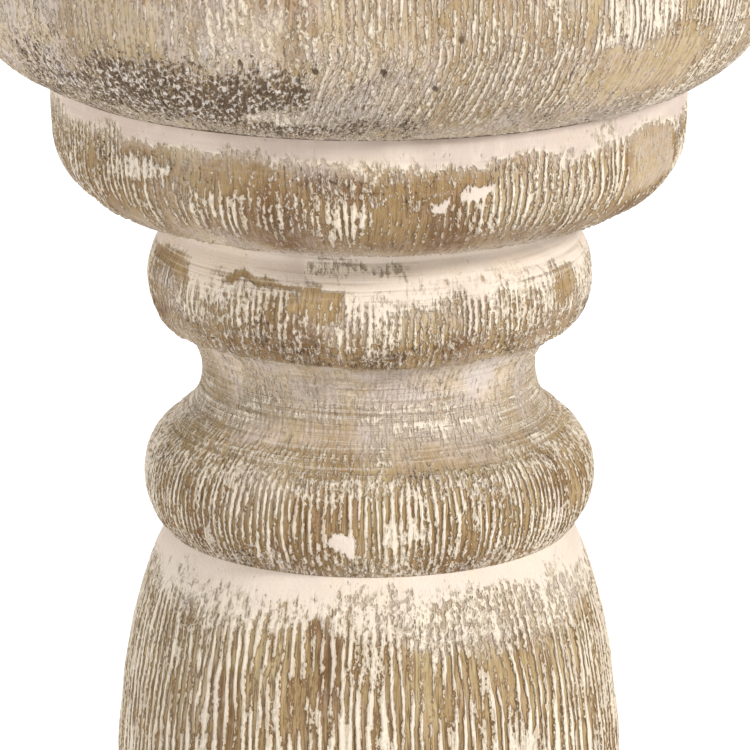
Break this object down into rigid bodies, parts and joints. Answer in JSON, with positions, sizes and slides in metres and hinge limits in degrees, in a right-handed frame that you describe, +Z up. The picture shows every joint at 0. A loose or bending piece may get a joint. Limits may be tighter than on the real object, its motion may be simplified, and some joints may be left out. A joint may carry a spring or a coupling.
{
  "type": "wooden candlestick",
  "caption": "Turned wooden pillar candlestick with a whitewashed, wire-brushed finish: round cup with a metal pan and spike, beaded neck, vase-shaped stem and stepped round base.",
  "frame": {"origin": "centre of the base, on the surface that the candlestick stands on", "axes": "+Z up along the axis of the turned stem; the stick is round, and one pan screw lies towards +Y"},
  "size_m": [0.127, 0.127, 0.3235],
  "materials": {
    "whitewashed_wood": "wire-brushed hardwood under worn cream whitewash, matt",
    "aged_iron": "dark bronzed sheet, lightly worn, satin",
    "zinc_steel": "zinc-plated fasteners, dull",
    "felt": "dark brown felt"
  },
  "bodies": {
    "root": {"candle_cup": "whitewashed_wood", "upper_collar": "whitewashed_wood", "neck_spindle": "whitewashed_wood", "baluster": "whitewashed_wood", "lower_spindle": "whitewashed_wood", "base_collar": "whitewashed_wood", "base_foot": "whitewashed_wood", "base_felt": "felt", "drip_pan": "aged_iron", "pricket_spike": "aged_iron", "pan_screw_1": "aged_iron", "pan_screw_2": "aged_iron", "pan_screw_3": "aged_iron", "tie_rod": "zinc_steel", "tie_rod_top_nut": "zinc_steel", "tie_rod_top_washer": "zinc_steel", "tie_rod_bottom_nut": "zinc_steel", "tie_rod_bottom_washer": "zinc_steel"}
  },
  "joints": []
}
